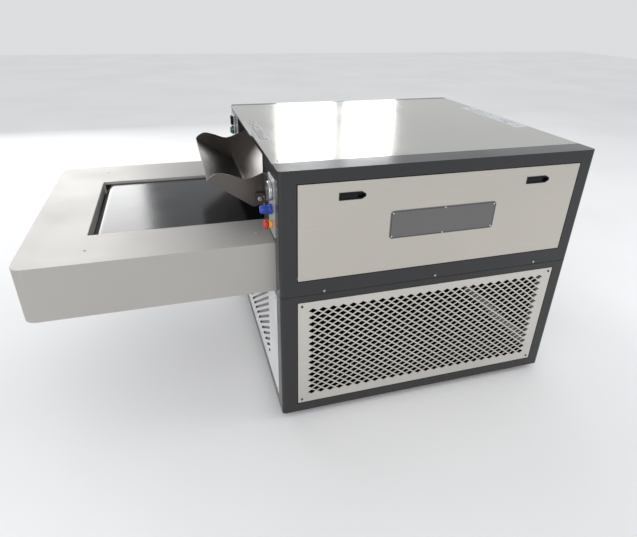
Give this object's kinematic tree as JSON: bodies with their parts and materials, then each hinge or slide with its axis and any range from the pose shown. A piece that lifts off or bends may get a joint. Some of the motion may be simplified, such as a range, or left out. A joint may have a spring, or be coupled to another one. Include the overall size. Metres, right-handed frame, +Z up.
{
  "type": "pneumatic roll laminator",
  "caption": "Cabinet press with a belt conveyor through it, a long infeed table, a V-shaped tilting guard at the infeed and a powered press roller inside.",
  "frame": {"origin": "centre of the machine's footprint box, on the floor", "axes": "+X along the belt from the infeed to the outfeed, +Y from the front panel to the back, +Z up"},
  "size_m": [1.9844, 1.0726, 0.943],
  "materials": {
    "frame_grey": "satin dark grey powder coat",
    "brushed_sheet": "brushed stainless sheet",
    "vent_sheet": "satin perforated sheet",
    "white_paint": "satin white powder coat",
    "belt": "smooth black conveyor belt",
    "bright_steel": "turned steel",
    "roller_rubber": "ground rubber covering",
    "black_plastic": "moulded black plastic",
    "anodised": "satin anodised",
    "plate_grey": "printed grey plate",
    "blue_plastic": "blue moulded plastic",
    "red_plastic": "red moulded plastic",
    "yellow_plastic": "amber moulded plastic",
    "green_plastic": "green moulded plastic",
    "gauge_glass": "clear window",
    "needle_paint": "red paint",
    "brass": "machined"
  },
  "bodies": {
    "cabinet": {"base_frame": "frame_grey", "upper_frame": "frame_grey", "base_pan": "frame_grey", "machine_deck": "frame_grey", "top_cover": "brushed_sheet", "foot_front_left": "black_plastic", "foot_front_right": "black_plastic", "foot_back_left": "black_plastic", "foot_back_right": "black_plastic", "front_vent_grille": "vent_sheet", "left_louvre_panel": "white_paint", "right_louvre_panel": "white_paint", "rear_vent_panel": "white_paint", "rear_upper_panel": "brushed_sheet", "outfeed_panel": "brushed_sheet", "infeed_table": "brushed_sheet", "conveyor_rail_front": "frame_grey", "conveyor_rail_rear": "frame_grey", "slider_bed": "bright_steel", "conveyor_belt": "belt", "press_bridge": "frame_grey", "press_cylinder_front": "anodised", "press_cylinder_rear": "anodised", "drive_chain": "bright_steel", "gear_motor": "frame_grey", "electrical_box": "white_paint", "guard_bracket_front": "white_paint", "guard_bracket_rear": "white_paint", "limit_switch": "black_plastic", "outfeed_tray": "brushed_sheet", "power_inlet": "black_plastic", "air_inlet": "brass", "control_plate_front": "anodised", "control_plate_rear": "anodised", "gauge_case": "bright_steel", "gauge_lens": "gauge_glass", "regulator_body": "blue_plastic", "estop_collar": "yellow_plastic"},
    "front_door": {"front_access_panel": "brushed_sheet", "nameplate": "plate_grey", "latch_housing_left": "black_plastic", "latch_housing_right": "black_plastic"},
    "latch_left": {"latch_paddle_left": "black_plastic"},
    "latch_right": {"latch_paddle_right": "black_plastic"},
    "guard": {"safety_guard": "brushed_sheet"},
    "press": {"press_carriage": "frame_grey", "cylinder_rod_front": "bright_steel", "cylinder_rod_rear": "bright_steel"},
    "upper_roller": {"upper_press_roller": "roller_rubber"},
    "lower_roller": {"lower_press_roller": "bright_steel"},
    "drive_shaft": {"drive_roller": "bright_steel", "drive_sprocket": "bright_steel"},
    "nose_shaft": {"nose_roller": "bright_steel"},
    "return_shaft": {"return_roller": "bright_steel"},
    "motor_shaft": {"motor_sprocket": "bright_steel"},
    "estop": {"estop_head": "red_plastic"},
    "start": {"start_button": "green_plastic"},
    "rocker": {"rocker_switch": "black_plastic"},
    "regulator": {"regulator_knob": "blue_plastic"},
    "needle": {"gauge_needle": "needle_paint"}
  },
  "joints": [
    {"name": "front_panel_fold", "type": "hinge", "parent": "cabinet", "child": "front_door", "pos_m": [0.30835, -0.528, 0.587], "axis": [1, 0, 0], "range_deg": [0, 90]},
    {"name": "latch_left_lift", "type": "hinge", "parent": "front_door", "child": "latch_left", "pos_m": [-0.05265, -0.534, 0.853], "axis": [0, 0, -1], "range_deg": [0, 35], "stiffness_Nm_per_rad": 0.3, "springref_deg": -11.46},
    {"name": "latch_right_lift", "type": "hinge", "parent": "front_door", "child": "latch_right", "pos_m": [0.60685, -0.534, 0.853], "axis": [0, 0, -1], "range_deg": [0, 35], "stiffness_Nm_per_rad": 0.3, "springref_deg": -11.46},
    {"name": "guard_tilt", "type": "hinge", "parent": "cabinet", "child": "guard", "pos_m": [-0.25615, 0, 0.775], "axis": [0, 1, 0], "range_deg": [0, 30]},
    {"name": "press_stroke", "type": "slide", "parent": "cabinet", "child": "press", "axis": [0, 0, 1], "range_m": [0, 0.03]},
    {"name": "drive_roller_spin", "type": "hinge", "parent": "cabinet", "child": "drive_shaft", "pos_m": [0.79085, -0.0175, 0.635], "axis": [0, 1, 0], "continuous": true},
    {"name": "lower_roller_spin", "type": "hinge", "parent": "cabinet", "child": "lower_roller", "pos_m": [0.08585, -0.0175, 0.6347], "axis": [0, 1, 0], "continuous": true},
    {"name": "upper_roller_spin", "type": "hinge", "parent": "press", "child": "upper_roller", "pos_m": [0.08585, -0.0175, 0.7384], "axis": [0, 1, 0], "continuous": true},
    {"name": "nose_roller_spin", "type": "hinge", "parent": "cabinet", "child": "nose_shaft", "pos_m": [-0.77015, -0.0175, 0.655], "axis": [0, 1, 0], "continuous": true},
    {"name": "return_roller_spin", "type": "hinge", "parent": "cabinet", "child": "return_shaft", "pos_m": [-0.04415, -0.0175, 0.57], "axis": [0, 1, 0], "continuous": true},
    {"name": "motor_spin", "type": "hinge", "parent": "cabinet", "child": "motor_shaft", "pos_m": [0.55585, 0.281, 0.585], "axis": [0, 1, 0], "continuous": true},
    {"name": "estop_press", "type": "slide", "parent": "cabinet", "child": "estop", "axis": [1, 0, 0], "range_m": [0, 0.003], "stiffness_N_per_m": 1500, "springref_m": -0.003},
    {"name": "start_press", "type": "slide", "parent": "cabinet", "child": "start", "axis": [1, 0, 0], "range_m": [0, 0.003], "stiffness_N_per_m": 600, "springref_m": -0.002},
    {"name": "rocker_tilt", "type": "hinge", "parent": "cabinet", "child": "rocker", "pos_m": [-0.25465, 0.444, 0.885], "axis": [0, 1, 0], "range_deg": [0, 20]},
    {"name": "regulator_turn", "type": "hinge", "parent": "cabinet", "child": "regulator", "pos_m": [-0.26415, -0.44, 0.796], "axis": [1, 0, 0], "range_deg": [0, 720]},
    {"name": "gauge_needle_turn", "type": "hinge", "parent": "cabinet", "child": "needle", "pos_m": [-0.25215, -0.44, 0.856], "axis": [1, 0, 0], "range_deg": [0, 270]}
  ],
  "couplings": [
    {"joint": "lower_roller_spin", "follows": "drive_roller_spin", "ratio": 1},
    {"joint": "upper_roller_spin", "follows": "drive_roller_spin", "ratio": -1},
    {"joint": "nose_roller_spin", "follows": "drive_roller_spin", "ratio": 1.6667},
    {"joint": "return_roller_spin", "follows": "drive_roller_spin", "ratio": 2},
    {"joint": "motor_spin", "follows": "drive_roller_spin", "ratio": 1.8333},
    {"joint": "gauge_needle_turn", "follows": "regulator_turn", "ratio": 0.375}
  ]
}
